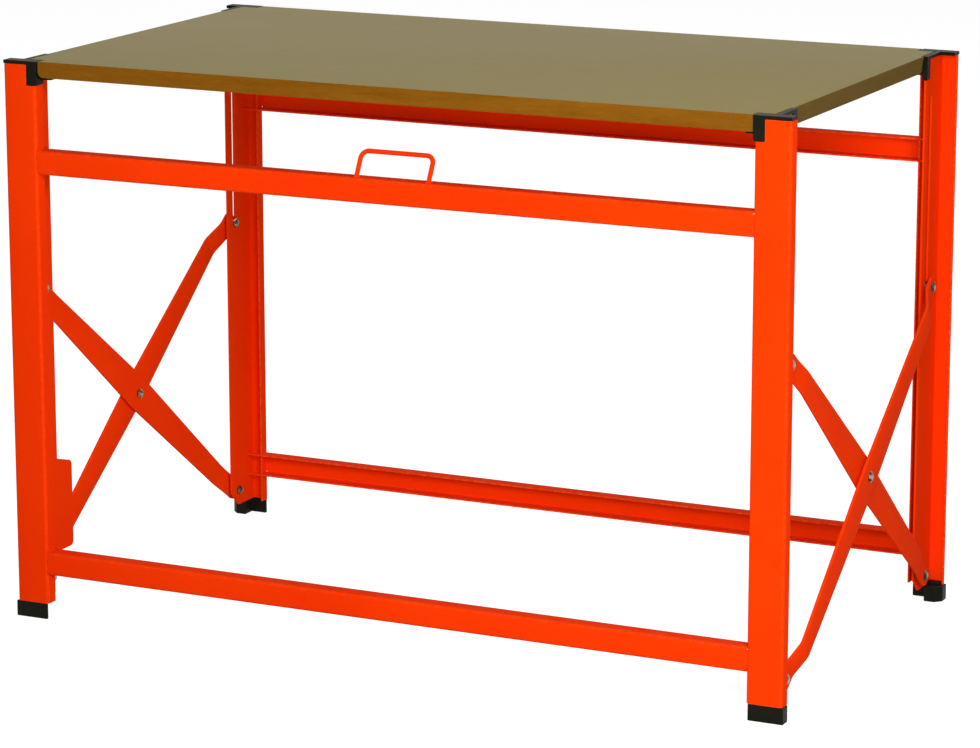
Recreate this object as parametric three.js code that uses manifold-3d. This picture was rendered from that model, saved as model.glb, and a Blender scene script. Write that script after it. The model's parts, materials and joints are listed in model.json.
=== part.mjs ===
// Folding workbench: a front frame and a rear frame of sheet-steel channel, joined at each end
// by a pair of crossed braces, with a notched board that drops in between the four legs.
// Millimetres, +Z up, +X to the right, +Y to the back. The origin is on the floor, in the middle.

import * as THREE from 'three';
import { mergeVertices } from 'three/addons/utils/BufferGeometryUtils.js';
import Module from 'manifold-3d';

const wasm = await Module();
wasm.setup();

// Overall sizes, standing open
const WIDTH = 1240;            // over the legs, left to right
const DEPTH = 690;             // over the legs, front to back
const HEIGHT = 850;            // floor to the top of the board and the caps
const FOLDED_DEPTH = 170;      // over the legs, when the frames are together

// Clearances
const GAP = 0.3;               // between pieces that touch
const BOARD_GAP = 1;           // round the caps, at the ends and at the front
const BOARD_UNDERCUT = 14.5;   // more at the underside, in front of the rear caps, to lift clear

// Legs: a U-channel, its face outwards, open towards the inside
const SHEET = 2.5;             // sheet of the legs and rails
const BEND = 5;                // outer bend radius
const LEG_FACE = 54;
const LEG_LIP = 20;
const REAR_LIP = 7;            // the outer lip of the rear legs, which is cut short

// Guide plates inside the legs, which carry the braces
const PLATE = 3;
const PLATE_AT = 25;           // from the outer edge of the leg
const PLATE_DEPTH = 76;        // from the face of the leg to the free edge
const PLATE_CHAMFER = 22;      // lower corner of the free edge, at the rear
const PLATE_FOOT = 62;         // depth below the lower rail, at the front

// Rails: a C-channel, its web outwards
const RAIL_HEIGHT = 36;
const RAIL_FLANGE = 25;
const LOWER_RAIL_AT = 69;      // underside of the lower rails
const UPPER_RAIL_BELOW = 168;  // from the top of the board to the underside of the upper rails

// Braces and their pivots
const BRACE = 4;               // thickness
const BRACE_MIDDLE = 54;       // width at the crossing
const BRACE_END = 32;          // width at the ends
const OUTER_BRACE_AT = 2;      // from the outer edge of the leg to the outer brace
const BRACE_SPACE = 4;         // between the two braces
const BRACE_END_AT = 14;       // from the outer edge of the leg to the ends of both braces
const BEND_FROM = 18;          // from a pivot to the nearer bend of a brace
const BEND_TO = 54;            // from a pivot to the farther bend
const PIVOT_IN = 53;           // from the face of the leg to the pivots
const PIVOT_LOW = 49;          // height of the lower pivots
const SLOT_BELOW = 30.5;       // from the arms of the caps to the upper ends of the slots

// Bolts and nuts
const BOLT_R = 4;
const BOLT_HOLE_R = 4.3;
const SLOT_R = 6;              // half the width of a slot
const HEAD_R = 8.5;
const HEAD_HEIGHT = 3.8;
const COLLAR_R = 8;
const NUT_FLATS = 13;
const NUT_HEIGHT = 5;
const BOLT_PAST_NUT = 1;

// Board
const BOARD = 24;              // thickness
const BOARD_IN_END = 28;       // from the outer edge of the legs to its ends
const BOARD_IN_FRONT = 3;      // from the face of the legs to its long edges

// Caps on the legs
const CAP_TOP = 5;
const CAP_HANG = 31;           // how far the arms hang below the top
const CAP_STRIP = 21;          // depth over the leg
const CAP_ARM = 17.5;          // width of the arm at the inner edge of the leg
const CAP_WALL = 2.5;          // past the inner edge of the leg
const CAP_EDGE = 2.5;          // past the guide plate, on both sides
const CAP_PLATE_ARM = 14;      // depth of the arm at the free edge of the guide plate
const LEDGE = 16;              // how far the ledges reach under the board
const LEDGE_THICK = 4;
const LEDGE_IN = 14;           // from the face of the leg to the front ledge

// Feet
const FOOT_HEIGHT = 24;
const FOOT_EDGE = 2;           // past the outer edge of the leg
const FOOT_PROUD = 1;          // past the face of the leg
const FOOT_SHORT = 3;          // short of the inner edge of the leg
const FOOT_WALL = 4;           // depth under the face of the leg
const FOOT_BLOCK = 27;         // depth of the block at the outer edge
const FOOT_CHAMFER = 10;
const PLUG_HEIGHT = 5;         // of the plug inside the leg
const PLUG_DEPTH = 14;

// Carrying handle on the front upper rail
const HANDLE_ROD_R = 3.5;
const HANDLE_SPAN = 114;       // between the middles of its legs
const HANDLE_AT = 16;          // to the right of the middle
const HANDLE_HEIGHT = 35;      // above the rail, to the middle of the grip
const HANDLE_LEAN = 19;        // how far the grip lies behind its feet
const HANDLE_CORNER = 14;
const HANDLE_IN = 9;           // from the face of the rail to the feet

// Stop plate on the front left guide plate
const STOP_THICK = 3;
const STOP_FROM = 48;          // from the face of the leg
const STOP_TO = 112;
const STOP_LOW = 87;
const STOP_HIGH = 239;
const STOP_FALL = 16;          // of its upper edge
const STOP_CORNER = 8;

// Values that follow from these
const UPPER_RAIL_AT = HEIGHT - UPPER_RAIL_BELOW;
const UNDER_CAP = HEIGHT - CAP_TOP;
const UNDER_BOARD = HEIGHT - BOARD;
const ARM_LOW = UNDER_CAP - CAP_HANG;
const ARM_TO = LEG_FACE + CAP_WALL;
const ARM_FROM = ARM_TO - CAP_ARM;
const PLATE_TO = PLATE_AT + PLATE;
const CAP_BLOCK = [PLATE_AT - CAP_EDGE, PLATE_TO + CAP_EDGE];
const CAP_BLOCK_IN = PLATE_DEPTH + CAP_EDGE;
const PLATE_ARM_FROM = CAP_BLOCK_IN - CAP_PLATE_ARM;
const INNER_BRACE_AT = OUTER_BRACE_AT + BRACE + BRACE_SPACE;
const OPEN_SPAN = DEPTH - 2 * PIVOT_IN;
const FOLDED_SPAN = FOLDED_DEPTH - 2 * PIVOT_IN;
const SLOT_HIGH = ARM_LOW - SLOT_BELOW;
const BRACE_LENGTH = Math.hypot(FOLDED_SPAN, SLOT_HIGH - PIVOT_LOW);
const PIVOT_HIGH = PIVOT_LOW + Math.sqrt(BRACE_LENGTH ** 2 - OPEN_SPAN ** 2);
const BRACE_ANGLE = Math.atan2(PIVOT_HIGH - PIVOT_LOW, OPEN_SPAN);

const paint = () => new THREE.MeshStandardMaterial({ color: 0xf03c08, roughness: 0.42, metalness: 0.1 });
const plastic = () => new THREE.MeshStandardMaterial({ color: 0x161816, roughness: 0.55, metalness: 0 });
const zinc = () => new THREE.MeshStandardMaterial({ color: 0xb8b4a6, roughness: 0.35, metalness: 0.9 });
const board = () => new THREE.MeshStandardMaterial({ color: 0x7f7350, roughness: 0.6, metalness: 0 });

// A closed geometry as a solid that can be joined and cut
function solid(geometry) {
  const bare = geometry.clone();
  bare.deleteAttribute('normal');
  bare.deleteAttribute('uv');
  const merged = mergeVertices(bare, 1e-4);
  const mesh = new wasm.Mesh({
    numProp: 3,
    vertProperties: Float32Array.from(merged.attributes.position.array),
    triVerts: Uint32Array.from(merged.index.array),
  });
  return new wasm.Manifold(mesh);
}

// A solid as a geometry for a mesh
function geometryOf(body) {
  const mesh = body.getMesh();
  const geometry = new THREE.BufferGeometry();
  const points = Float32Array.from(mesh.vertProperties);
  geometry.setAttribute('position', new THREE.BufferAttribute(points, mesh.numProp));
  geometry.setIndex(new THREE.BufferAttribute(Uint32Array.from(mesh.triVerts), 1));
  geometry.computeVertexNormals();
  return geometry;
}

// A box between two values on each axis, in any order
function box(xs, ys, zs) {
  const size = [xs, ys, zs].map(([a, b]) => Math.abs(b - a));
  const middle = [xs, ys, zs].map(([a, b]) => (a + b) / 2);
  return new THREE.BoxGeometry(...size).translate(...middle);
}

// A flat outline drawn upright, from one height to another
function prism(points, low, high) {
  const shape = new THREE.Shape(points.map(([x, y]) => new THREE.Vector2(x, y)));
  const geometry = new THREE.ExtrudeGeometry(shape, { depth: high - low, bevelEnabled: false });
  return geometry.translate(0, 0, low);
}

// A shape of (y, z) points drawn along X, between two values of x
function alongX(shape, a, b) {
  const settings = { depth: Math.abs(b - a), bevelEnabled: false, curveSegments: 8 };
  const geometry = new THREE.ExtrudeGeometry(shape, settings);
  const turn = new THREE.Matrix4().makeBasis(
    new THREE.Vector3(0, 1, 0), new THREE.Vector3(0, 0, 1), new THREE.Vector3(1, 0, 0));
  return geometry.applyMatrix4(turn).translate(Math.min(a, b), 0, 0);
}

// Points on an arc, angles in quarter turns
function arc(x, y, radius, from, to, steps = 3) {
  return Array.from({ length: steps + 1 }, (_, i) => {
    const angle = (from + (to - from) * i / steps) * Math.PI / 2;
    return [x + radius * Math.cos(angle), y + radius * Math.sin(angle)];
  });
}

// Outline of a bent channel: its face along the first axis, its two lips along the second
function channel(face, firstLip, lastLip) {
  const inner = BEND - SHEET;
  return [
    [0, firstLip],
    ...arc(BEND, BEND, BEND, 2, 3),
    ...arc(face - BEND, BEND, BEND, 3, 4),
    [face, lastLip],
    [face - SHEET, lastLip],
    ...arc(face - BEND, BEND, inner, 4, 3),
    ...arc(BEND, BEND, inner, 3, 2),
    [SHEET, firstLip],
  ];
}

function named(name, geometry, material) {
  const mesh = new THREE.Mesh(geometry, material);
  mesh.name = name;
  return mesh;
}

// One corner: leg, guide plate, cap and foot. side and end are -1 or 1. Distances are counted
// from the outer corner of the leg: across from its outer edge, and in from its face.
function corner(name, side, end) {
  const across = (value) => -side * value;
  const inwards = (value) => -end * value;
  const place = (points) => points.map(([a, b]) => [across(a), inwards(b)]);
  const block = (a, b, low, high) => solid(box(a.map(across), b.map(inwards), [low, high]));

  // The leg, with its upper inner corner cut away for the arm of the cap
  const section = channel(LEG_FACE, end < 0 ? LEG_LIP : REAR_LIP, LEG_LIP);
  const legBar = solid(prism(place(section), FOOT_HEIGHT + GAP, UNDER_CAP - GAP));
  const armCut = block([ARM_FROM - GAP, ARM_TO], [-SHEET, CAP_STRIP], ARM_LOW - GAP, HEIGHT);
  const leg = legBar.subtract(armCut);

  // The guide plate: lower pivot hole, slot for the sliding bolt, cut for the other arm
  const low = FOOT_HEIGHT + GAP;
  const high = UNDER_CAP - GAP;
  const step = LOWER_RAIL_AT + RAIL_HEIGHT / 2;
  const lowerCorner = end < 0
    ? [[PLATE_FOOT, low], [PLATE_FOOT, step], [PLATE_DEPTH, step + PLATE_DEPTH - PLATE_FOOT]]
    : [[PLATE_DEPTH - PLATE_CHAMFER, low], [PLATE_DEPTH, low + PLATE_CHAMFER]];
  const outline = [
    [SHEET + GAP, low],
    ...lowerCorner,
    [PLATE_DEPTH, ARM_LOW - GAP],
    [PLATE_ARM_FROM - GAP, ARM_LOW - GAP],
    [PLATE_ARM_FROM - GAP, high],
    [SHEET + GAP, high],
  ];
  const shape = new THREE.Shape(outline.map(([d, z]) => new THREE.Vector2(inwards(d), z)));
  const hole = new THREE.Path();
  hole.absarc(inwards(PIVOT_IN), PIVOT_LOW, BOLT_HOLE_R, 0, 2 * Math.PI);
  const slot = new THREE.Path();
  slot.absarc(inwards(PIVOT_IN), SLOT_HIGH, SLOT_R, 0, Math.PI);
  slot.absarc(inwards(PIVOT_IN), PIVOT_HIGH, SLOT_R, Math.PI, 2 * Math.PI);
  shape.holes.push(hole, slot);
  const plate = alongX(shape, across(PLATE_AT), across(PLATE_TO));

  // The cap: a top over the leg and the plate, two arms, and ledges for the board
  const [blockFrom, blockTo] = CAP_BLOCK;
  const capTop = solid(prism(place([
    [0, 0], [ARM_TO, 0], [ARM_TO, CAP_STRIP], [blockTo, CAP_STRIP], [blockTo, CAP_BLOCK_IN],
    [blockFrom, CAP_BLOCK_IN], [blockFrom, CAP_STRIP], [0, CAP_STRIP],
  ]), UNDER_CAP, HEIGHT));
  const armTop = UNDER_CAP + CAP_TOP / 2;
  const ledgeHigh = UNDER_BOARD - GAP;
  const ledgeLow = ledgeHigh - LEDGE_THICK;
  const cap = capTop
    .add(block([ARM_FROM, ARM_TO], [0, CAP_STRIP], ARM_LOW, armTop))
    .add(block(CAP_BLOCK, [PLATE_ARM_FROM, CAP_BLOCK_IN], ARM_LOW, armTop))
    .add(block([ARM_TO - 1, ARM_TO + LEDGE], [LEDGE_IN, CAP_STRIP + LEDGE], ledgeLow, ledgeHigh))
    .add(block([ARM_FROM, ARM_TO], [CAP_STRIP - 1, CAP_STRIP + LEDGE], ledgeLow, ledgeHigh))
    .add(block([blockTo - 1, blockTo + LEDGE], [PLATE_ARM_FROM, CAP_BLOCK_IN], ledgeLow, ledgeHigh));

  // The foot: a wall under the face of the leg, a block at its outer edge, and a plug inside it
  const footTo = LEG_FACE - FOOT_SHORT;
  const foot = solid(prism(place([
    [-FOOT_EDGE, -FOOT_PROUD], [footTo, -FOOT_PROUD], [footTo, FOOT_WALL], [PLATE_AT, FOOT_WALL],
    [PLATE_AT, FOOT_BLOCK], [FOOT_CHAMFER - FOOT_EDGE, FOOT_BLOCK], [-FOOT_EDGE, FOOT_BLOCK - FOOT_CHAMFER],
  ]), 0, FOOT_HEIGHT)).add(block(
    [BEND, PLATE_AT - GAP], [SHEET + GAP, SHEET + GAP + PLUG_DEPTH],
    FOOT_HEIGHT - 1, FOOT_HEIGHT + PLUG_HEIGHT));

  const group = new THREE.Group();
  group.position.set(side * WIDTH / 2, end * DEPTH / 2, 0);
  group.add(named(`${name}_leg`, geometryOf(leg), paint()));
  group.add(named(`${name}_guide_plate`, plate, paint()));
  group.add(named(`${name}_cap`, geometryOf(cap), plastic()));
  group.add(named(`${name}_foot`, geometryOf(foot), plastic()));
  return group;
}

// A rail between two legs, with the ends of its flanges carried on to the guide plates
function rail(name, end, low) {
  const inwards = (value) => -end * value;
  const reach = WIDTH / 2 - LEG_FACE - GAP;
  const points = channel(RAIL_HEIGHT, RAIL_FLANGE, RAIL_FLANGE);
  const shape = new THREE.Shape(points.map(([z, d]) => new THREE.Vector2(inwards(d), z)));
  let bar = solid(alongX(shape, -reach, reach));
  const tabTo = WIDTH / 2 - PLATE_TO - GAP;
  const depth = [LEG_LIP + GAP, RAIL_FLANGE].map(inwards);
  for (const side of [-1, 1]) {
    for (const from of [0, RAIL_HEIGHT - SHEET]) {
      const tab = box([side * (reach - LEG_LIP), side * tabTo], depth, [from, from + SHEET]);
      bar = bar.add(solid(tab));
    }
  }
  const mesh = named(name, geometryOf(bar), paint());
  mesh.position.set(0, end * DEPTH / 2, low);
  return mesh;
}

// A brace, drawn from its lower pivot along +Y: widest at the crossing in its middle, and bent
// inwards at both ends
function brace(name, side, at, end, angle) {
  const round = BRACE_END / 2;
  const swell = BRACE_MIDDLE / 2;
  const shape = new THREE.Shape();
  shape.absarc(0, 0, round, Math.PI / 2, 1.5 * Math.PI);
  shape.lineTo(BRACE_LENGTH / 2, -swell);
  shape.absarc(BRACE_LENGTH, 0, round, -Math.PI / 2, Math.PI / 2);
  shape.lineTo(BRACE_LENGTH / 2, swell);
  for (const along of [0, BRACE_LENGTH / 2, BRACE_LENGTH]) {
    const hole = new THREE.Path();
    hole.absarc(along, 0, BOLT_HOLE_R, 0, 2 * Math.PI);
    shape.holes.push(hole);
  }
  const outline = solid(alongX(shape, 0, -side * (BRACE_END_AT + 2 * BRACE)));
  const middle = [
    [BRACE_END_AT, -BRACE_END], [BRACE_END_AT, BEND_FROM], [at, BEND_TO],
    [at, BRACE_LENGTH - BEND_TO], [BRACE_END_AT, BRACE_LENGTH - BEND_FROM],
    [BRACE_END_AT, BRACE_LENGTH + BRACE_END],
  ];
  const strip = [
    ...middle.map(([d, along]) => [-side * d, along]),
    ...middle.toReversed().map(([d, along]) => [-side * (d + BRACE), along]),
  ];
  const bent = solid(prism(strip, -BRACE_MIDDLE, BRACE_MIDDLE)).intersect(outline);
  const mesh = named(name, geometryOf(bent), paint());
  mesh.position.set(side * WIDTH / 2, end * OPEN_SPAN / 2, PIVOT_LOW);
  mesh.rotation.x = angle;
  return mesh;
}

// A shoulder bolt and its nut. The bolt's head lies on a brace, its shoulder fills the space to
// the piece that it goes through, its neck fills the hole or slot, and the nut lies behind.
function bolt(name, side, y, z, braceAt, farFrom, farTo, neck = BOLT_R) {
  const under = braceAt - GAP;
  const shoulder = braceAt + BRACE + GAP;
  const shoulderTo = farFrom - GAP;
  const nutAt = farTo + GAP;
  const tip = nutAt + NUT_HEIGHT + BOLT_PAST_NUT;
  const profile = arc(0, 0, 1, 3, 4, 4).map(([r, h]) => [HEAD_R * r, under + HEAD_HEIGHT * h]);
  profile.push([BOLT_R, under]);
  if (shoulderTo - shoulder > 1) {
    profile.push([BOLT_R, shoulder], [COLLAR_R, shoulder], [COLLAR_R, shoulderTo], [neck, shoulderTo]);
  }
  if (neck > BOLT_R) profile.push([neck, farTo], [BOLT_R, farTo]);
  profile.push([BOLT_R, tip], [0, tip]);
  profile[0][0] = 0;
  const turned = new THREE.LatheGeometry(profile.map(([r, h]) => new THREE.Vector2(r, h)), 16);
  turned.rotateZ(side * Math.PI / 2);
  const shank = named(`${name}_bolt`, turned, zinc());

  const hexagon = new THREE.Shape();
  for (let i = 0; i < 6; i += 1) {
    const angle = i * Math.PI / 3;
    const radius = NUT_FLATS / Math.sqrt(3);
    const move = i === 0 ? 'moveTo' : 'lineTo';
    hexagon[move](radius * Math.cos(angle), radius * Math.sin(angle));
  }
  const bore = new THREE.Path();
  bore.absarc(0, 0, BOLT_HOLE_R, 0, 2 * Math.PI);
  hexagon.holes.push(bore);
  const nut = named(`${name}_nut`, alongX(hexagon, -side * nutAt, -side * (nutAt + NUT_HEIGHT)), zinc());

  const group = new THREE.Group();
  group.position.set(side * WIDTH / 2, y, z);
  group.add(shank, nut);
  return group;
}

// The carrying handle: a bent rod on the upper flange of the front upper rail
function handle() {
  const half = HANDLE_SPAN / 2;
  const tilt = Math.atan2(HANDLE_LEAN, HANDLE_HEIGHT);
  const length = Math.hypot(HANDLE_LEAN, HANDLE_HEIGHT);
  const sunk = HANDLE_ROD_R;
  const at = (x, h) => new THREE.Vector3(x, h * Math.sin(tilt), h * Math.cos(tilt));
  const path = new THREE.CurvePath();
  path.add(new THREE.LineCurve3(at(-half, -sunk), at(-half, length - HANDLE_CORNER)));
  path.add(new THREE.QuadraticBezierCurve3(
    at(-half, length - HANDLE_CORNER), at(-half, length), at(HANDLE_CORNER - half, length)));
  path.add(new THREE.LineCurve3(at(HANDLE_CORNER - half, length), at(half - HANDLE_CORNER, length)));
  path.add(new THREE.QuadraticBezierCurve3(
    at(half - HANDLE_CORNER, length), at(half, length), at(half, length - HANDLE_CORNER)));
  path.add(new THREE.LineCurve3(at(half, length - HANDLE_CORNER), at(half, -sunk)));
  const section = new THREE.Shape();
  section.absarc(0, 0, HANDLE_ROD_R, 0, 2 * Math.PI);
  const rod = new THREE.ExtrudeGeometry(section, { steps: 48, curveSegments: 5, extrudePath: path });
  const below = box([-WIDTH, WIDTH], [-DEPTH, DEPTH], [-HEIGHT, GAP]);
  const mesh = named('carry_handle', geometryOf(solid(rod).subtract(solid(below))), paint());
  mesh.position.set(HANDLE_AT, HANDLE_IN - DEPTH / 2, UPPER_RAIL_AT + RAIL_HEIGHT);
  return mesh;
}

// The stop plate on the inner side of the front left guide plate
function stopPlate() {
  const at = PLATE_TO + GAP;
  const edge = STOP_TO - STOP_CORNER;
  const corners = [
    [STOP_FROM, STOP_LOW],
    ...arc(edge, STOP_LOW + STOP_CORNER, STOP_CORNER, 3, 4),
    ...arc(edge, STOP_HIGH - STOP_FALL - STOP_CORNER, STOP_CORNER, 0, 1),
    [STOP_FROM, STOP_HIGH],
  ];
  const shape = new THREE.Shape(corners.map(([d, z]) => new THREE.Vector2(d, z)));
  const mesh = named('stop_plate', alongX(shape, at, at + STOP_THICK), paint());
  mesh.position.set(-WIDTH / 2, -DEPTH / 2, 0);
  return mesh;
}

// The board, notched round the four caps. The rear notches are undercut, so that the board comes
// free of the rear caps as it is lifted.
function worktop() {
  const halfX = WIDTH / 2;
  const halfY = DEPTH / 2;
  const long = halfX - BOARD_IN_END;
  const wide = halfY - BOARD_IN_FRONT;
  let slab = solid(box([-long, long], [-wide, wide], [0, BOARD]));
  for (const side of [-1, 1]) {
    for (const end of [-1, 1]) {
      const undercut = end < 0 ? 0 : BOARD_UNDERCUT;
      const notch = (a, b) => {
        const edge = halfY - b - BOARD_GAP;
        const corners = [[halfY + 1, -1], [edge - undercut, -1], [edge, BOARD + 1], [halfY + 1, BOARD + 1]];
        const shape = new THREE.Shape(corners.map(([y, z]) => new THREE.Vector2(end * y, z)));
        return solid(alongX(shape, side * (halfX + 1), side * (halfX - a - BOARD_GAP)));
      };
      slab = slab.subtract(notch(ARM_TO, CAP_STRIP)).subtract(notch(CAP_BLOCK[1], CAP_BLOCK_IN));
    }
  }
  const mesh = named('worktop', geometryOf(slab), board());
  mesh.position.z = UNDER_BOARD;
  return mesh;
}

const bench = new THREE.Group();
bench.name = 'folding_workbench';

const frontFrame = new THREE.Group();
frontFrame.add(corner('front_left', -1, -1));
frontFrame.add(corner('front_right', 1, -1));
frontFrame.add(rail('front_upper_rail', -1, UPPER_RAIL_AT));
frontFrame.add(rail('front_lower_rail', -1, LOWER_RAIL_AT));
frontFrame.add(handle());
frontFrame.add(stopPlate());
bench.add(frontFrame);

const rearFrame = new THREE.Group();
rearFrame.add(corner('rear_left', -1, 1));
rearFrame.add(corner('rear_right', 1, 1));
rearFrame.add(rail('rear_upper_rail', 1, UPPER_RAIL_AT));
rearFrame.add(rail('rear_lower_rail', 1, LOWER_RAIL_AT));
bench.add(rearFrame);

for (const [word, side] of [['left', -1], ['right', 1]]) {
  const front = -OPEN_SPAN / 2;
  const rear = OPEN_SPAN / 2;
  const toPlate = [PLATE_AT, PLATE_TO];
  const toInner = [INNER_BRACE_AT, INNER_BRACE_AT + BRACE];
  const middle = (PIVOT_LOW + PIVOT_HIGH) / 2;
  const scissor = new THREE.Group();
  scissor.add(brace(`${word}_outer_brace`, side, OUTER_BRACE_AT, -1, BRACE_ANGLE));
  scissor.add(brace(`${word}_inner_brace`, side, INNER_BRACE_AT, 1, Math.PI - BRACE_ANGLE));
  scissor.add(bolt(`${word}_outer_pivot`, side, front, PIVOT_LOW, BRACE_END_AT, ...toPlate));
  scissor.add(bolt(`${word}_outer_slide`, side, rear, PIVOT_HIGH, BRACE_END_AT, ...toPlate, SLOT_R - GAP));
  scissor.add(bolt(`${word}_inner_pivot`, side, rear, PIVOT_LOW, BRACE_END_AT, ...toPlate));
  scissor.add(bolt(`${word}_inner_slide`, side, front, PIVOT_HIGH, BRACE_END_AT, ...toPlate, SLOT_R - GAP));
  scissor.add(bolt(`${word}_crossing`, side, 0, middle, OUTER_BRACE_AT, ...toInner));
  bench.add(scissor);
}

bench.add(worktop());

export default bench;
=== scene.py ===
import json
import bmesh
import bpy
import numpy as np
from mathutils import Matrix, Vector

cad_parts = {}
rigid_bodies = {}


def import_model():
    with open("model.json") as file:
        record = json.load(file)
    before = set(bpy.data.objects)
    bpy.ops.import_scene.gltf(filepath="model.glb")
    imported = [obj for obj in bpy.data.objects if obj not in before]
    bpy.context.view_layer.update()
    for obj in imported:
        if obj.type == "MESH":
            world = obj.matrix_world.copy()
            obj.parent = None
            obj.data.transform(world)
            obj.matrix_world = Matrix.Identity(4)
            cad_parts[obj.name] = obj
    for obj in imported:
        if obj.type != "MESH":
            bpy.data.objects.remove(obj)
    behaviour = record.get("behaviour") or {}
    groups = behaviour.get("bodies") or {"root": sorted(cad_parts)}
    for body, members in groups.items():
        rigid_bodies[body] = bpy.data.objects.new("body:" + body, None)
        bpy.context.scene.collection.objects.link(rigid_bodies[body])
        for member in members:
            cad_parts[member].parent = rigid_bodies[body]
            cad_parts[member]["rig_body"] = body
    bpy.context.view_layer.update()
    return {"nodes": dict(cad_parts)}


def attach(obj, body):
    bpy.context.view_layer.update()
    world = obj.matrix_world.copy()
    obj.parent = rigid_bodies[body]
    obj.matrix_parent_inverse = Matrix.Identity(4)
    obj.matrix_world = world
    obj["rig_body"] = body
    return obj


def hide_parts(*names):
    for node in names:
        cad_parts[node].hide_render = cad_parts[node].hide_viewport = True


# Every length is in metres. The bench stands on z = 0 with its front towards -y and its right end
# towards +x. Many places are measured from an outer corner: along the face, in from it, and up.
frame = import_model()

# Legs: four U-channels folded from sheet steel, open towards the inside of the bench, with the
# upper inner corner cut out for the arm of the cap. The outer lip of the rear ones is cut short.
# Powder-coated bright orange, satin.
OUTER_X, OUTER_Y = 0.620, 0.345
SHEET, BEND = 0.0025, 0.005
LEG_FACE, LEG_LIP, REAR_LIP, LEG_CUT_FACE = 0.054, 0.020, 0.007, 0.0387
LEG_LOW, LEG_CUT, LEG_HIGH = 0.0243, 0.8137, 0.8447
# The second number here is how strongly the middle of each bend is painted with highlight.
EDGE_BAND, BEND_HIGHLIGHT = 0.0012, 0.3
CORNERS = {"front_left": (-1, -1), "front_right": (1, -1), "rear_left": (-1, 1), "rear_right": (1, 1)}
SIDES = {"left": -1, "right": 1}


def shade(red, green, blue):
    """A colour read off a screen, as the linear values that a shader takes."""
    c = np.array([red, green, blue]) / 255
    return (*np.where(c < 0.04045, c / 12.92, ((c + 0.055) / 1.055) ** 2.4), 1.0)


def new_group(name, takes, gives):
    """An empty shader group with its sockets; returns it with the ends that its nodes link to."""
    group = bpy.data.node_groups.new(name, "ShaderNodeTree")
    for label, kind, value in takes:
        group.interface.new_socket(label, in_out="INPUT", socket_type=kind).default_value = value
    for label, kind in gives:
        group.interface.new_socket(label, in_out="OUTPUT", socket_type=kind)
    return group, group.nodes.new("NodeGroupInput").outputs, group.nodes.new("NodeGroupOutput").inputs


def add_node(tree, kind, links=None, **values):
    """One node in a tree: values set its own settings, links feed its inputs by name or number."""
    node = tree.nodes.new(kind)
    for key, value in values.items():
        setattr(node, key, value)
    for key, source in (links or {}).items():
        if isinstance(source, bpy.types.NodeSocket):
            tree.links.new(source, node.inputs[key])
        else:
            node.inputs[key].default_value = source
    return node


def noise(tree, place, scale, detail):
    """A cloudy pattern over a place, as a value between about 0 and 1."""
    links = {"Vector": place, "Scale": scale, "Detail": detail}
    return add_node(tree, "ShaderNodeTexNoise", links).outputs[0]


def ramp(tree, value, low, high):
    """A value that rises from 0 at low to 1 at high, and no further."""
    return add_node(tree, "ShaderNodeMapRange", {0: value, 1: low, 2: high}).outputs[0]


def joined(tree, operation, first, second):
    """Two values put together by one operation of the math node."""
    return add_node(tree, "ShaderNodeMath", {0: first, 1: second}, operation=operation).outputs[0]


# Mottle of a finish: a broad cloud and a fine speckle in one tone, and a fine grain as a height.
mottle, take, give = new_group(
    "finish_mottle",
    [("Stretch", "NodeSocketVector", (1, 1, 1)), ("Cloud Scale", "NodeSocketFloat", 6.0),
     ("Speckle Scale", "NodeSocketFloat", 400.0), ("Speckle Share", "NodeSocketFloat", 0.4),
     ("Grain Scale", "NodeSocketFloat", 900.0)],
    [("Tone", "NodeSocketFloat"), ("Grain", "NodeSocketFloat")])
where = add_node(mottle, "ShaderNodeTexCoord").outputs["Object"]
drawn = add_node(mottle, "ShaderNodeVectorMath", {0: where, 1: take["Stretch"]}, operation="MULTIPLY")
cloud = noise(mottle, drawn.outputs[0], take["Cloud Scale"], 4.0)
speckle = noise(mottle, drawn.outputs[0], take["Speckle Scale"], 2.0)
tone = add_node(mottle, "ShaderNodeMix", {0: take["Speckle Share"], 2: cloud, 3: speckle})
mottle.links.new(ramp(mottle, tone.outputs[0], 0.3, 0.7), give["Tone"])
mottle.links.new(noise(mottle, where, take["Grain Scale"], 1.5), give["Grain"])

# Dust and edges of a finish: dust that settles on faces that look up, and a broken band of a second
# colour along the marked edges and bends. That band is wear and painted light: a painted highlight
# on the orange coat, painted shade on the bolt heads.
dust_and_edges, take, give = new_group(
    "finish_dust_and_edges",
    [("Dust", "NodeSocketFloat", 0.1), ("Rub and Light", "NodeSocketFloat", 0.5)],
    [("Dust", "NodeSocketFloat"), ("Rub and Light", "NodeSocketFloat")])
where = add_node(dust_and_edges, "ShaderNodeTexCoord").outputs["Object"]
facing = add_node(dust_and_edges, "ShaderNodeNewGeometry").outputs["Normal"]
upward = add_node(dust_and_edges, "ShaderNodeSeparateXYZ", {0: facing}).outputs["Z"]
patches = ramp(dust_and_edges, noise(dust_and_edges, where, 28.0, 5.0), 0.35, 0.7)
settled = joined(dust_and_edges, "MULTIPLY", ramp(dust_and_edges, upward, 0.6, 1.0), patches)
edge = add_node(dust_and_edges, "ShaderNodeAttribute", attribute_name="edge").outputs["Fac"]
breakup = ramp(dust_and_edges, noise(dust_and_edges, where, 160.0, 4.0), 0.42, 0.68)
worn_and_lit = joined(dust_and_edges, "MULTIPLY", edge, breakup)
dust_and_edges.links.new(joined(dust_and_edges, "MULTIPLY", settled, take["Dust"]), give["Dust"])
dust_and_edges.links.new(joined(dust_and_edges, "MULTIPLY", worn_and_lit, take["Rub and Light"]), give["Rub and Light"])


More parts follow.
